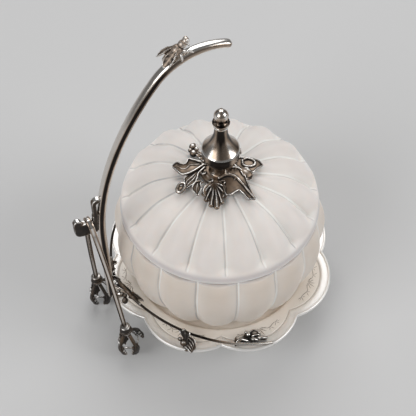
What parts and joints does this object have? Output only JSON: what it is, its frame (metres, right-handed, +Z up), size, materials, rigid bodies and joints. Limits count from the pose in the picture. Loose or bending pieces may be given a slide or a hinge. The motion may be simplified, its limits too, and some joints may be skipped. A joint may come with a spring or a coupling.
{
  "type": "pickle castor",
  "caption": "Ribbed frosted glass bowl with a lift-off domed lid on a lobed silver-plated stand with a crook handle, a wire rail and claw tongs on a hook.",
  "frame": {"origin": "on the tray's axis, in the plane that the foot stands on", "axes": "+Z up, the handle at -X, the long side of the hanging tongs to the front at -Y"},
  "size_m": [0.1557, 0.1408, 0.2119],
  "materials": {
    "silver_plate": "polished silver plate, worn and slightly yellowed",
    "oxidised_silver": "cast silver plate, dark in the recesses and bright on the edges",
    "frosted_glass": "satin frosted glass",
    "cork": "plain cork"
  },
  "bodies": {
    "stand": {"tray": "silver_plate", "rim_bead": "silver_plate", "foot": "silver_plate", "handle": "silver_plate", "handle_rivets": "silver_plate", "tong_hook": "oxidised_silver", "rail_wire": "silver_plate", "leaf_post_front": "oxidised_silver", "leaf_post_rear": "oxidised_silver", "flower_front": "oxidised_silver", "flower_rear": "oxidised_silver", "spray_front": "oxidised_silver", "spray_rear": "oxidised_silver", "insect": "silver_plate"},
    "bowl": {"bowl": "frosted_glass"},
    "lid": {"lid": "frosted_glass", "rosette": "oxidised_silver", "finial_cup": "oxidised_silver", "finial_bell": "oxidised_silver", "finial_ring": "oxidised_silver", "finial_ball": "silver_plate", "finial_stud": "oxidised_silver", "cork_washer": "cork", "finial_nut": "oxidised_silver"},
    "tongs": {"tong_bow": "silver_plate"},
    "front_arm": {"front_arm": "silver_plate", "front_ferrule": "oxidised_silver", "front_claw": "oxidised_silver"},
    "rear_arm": {"rear_arm": "silver_plate", "rear_ferrule": "oxidised_silver", "rear_claw": "oxidised_silver"}
  },
  "joints": [
    {"name": "bowl_lift", "type": "slide", "parent": "stand", "child": "bowl", "axis": [0.5736, 0, 0.8192], "range_m": [0, 0.16]},
    {"name": "lid_lift", "type": "slide", "parent": "bowl", "child": "lid", "axis": [0.5736, 0, 0.8192], "range_m": [0, 0.12]},
    {"name": "tongs_lift", "type": "slide", "parent": "stand", "child": "tongs", "axis": [-0.2588, 0, 0.9659], "range_m": [0, 0.06]},
    {"name": "front_squeeze", "type": "hinge", "parent": "tongs", "child": "front_arm", "pos_m": [-0.0764, -0.00476, 0.09989], "axis": [0.9954, 0.0871, 0.0401], "range_deg": [0, 8], "stiffness_Nm_per_rad": 0.4},
    {"name": "rear_squeeze", "type": "hinge", "parent": "tongs", "child": "rear_arm", "pos_m": [-0.07713, 0.00398, 0.09917], "axis": [0.9954, 0.0871, 0.0401], "range_deg": [-8, 0]}
  ],
  "couplings": [
    {"joint": "rear_squeeze", "follows": "front_squeeze", "ratio": -1}
  ]
}
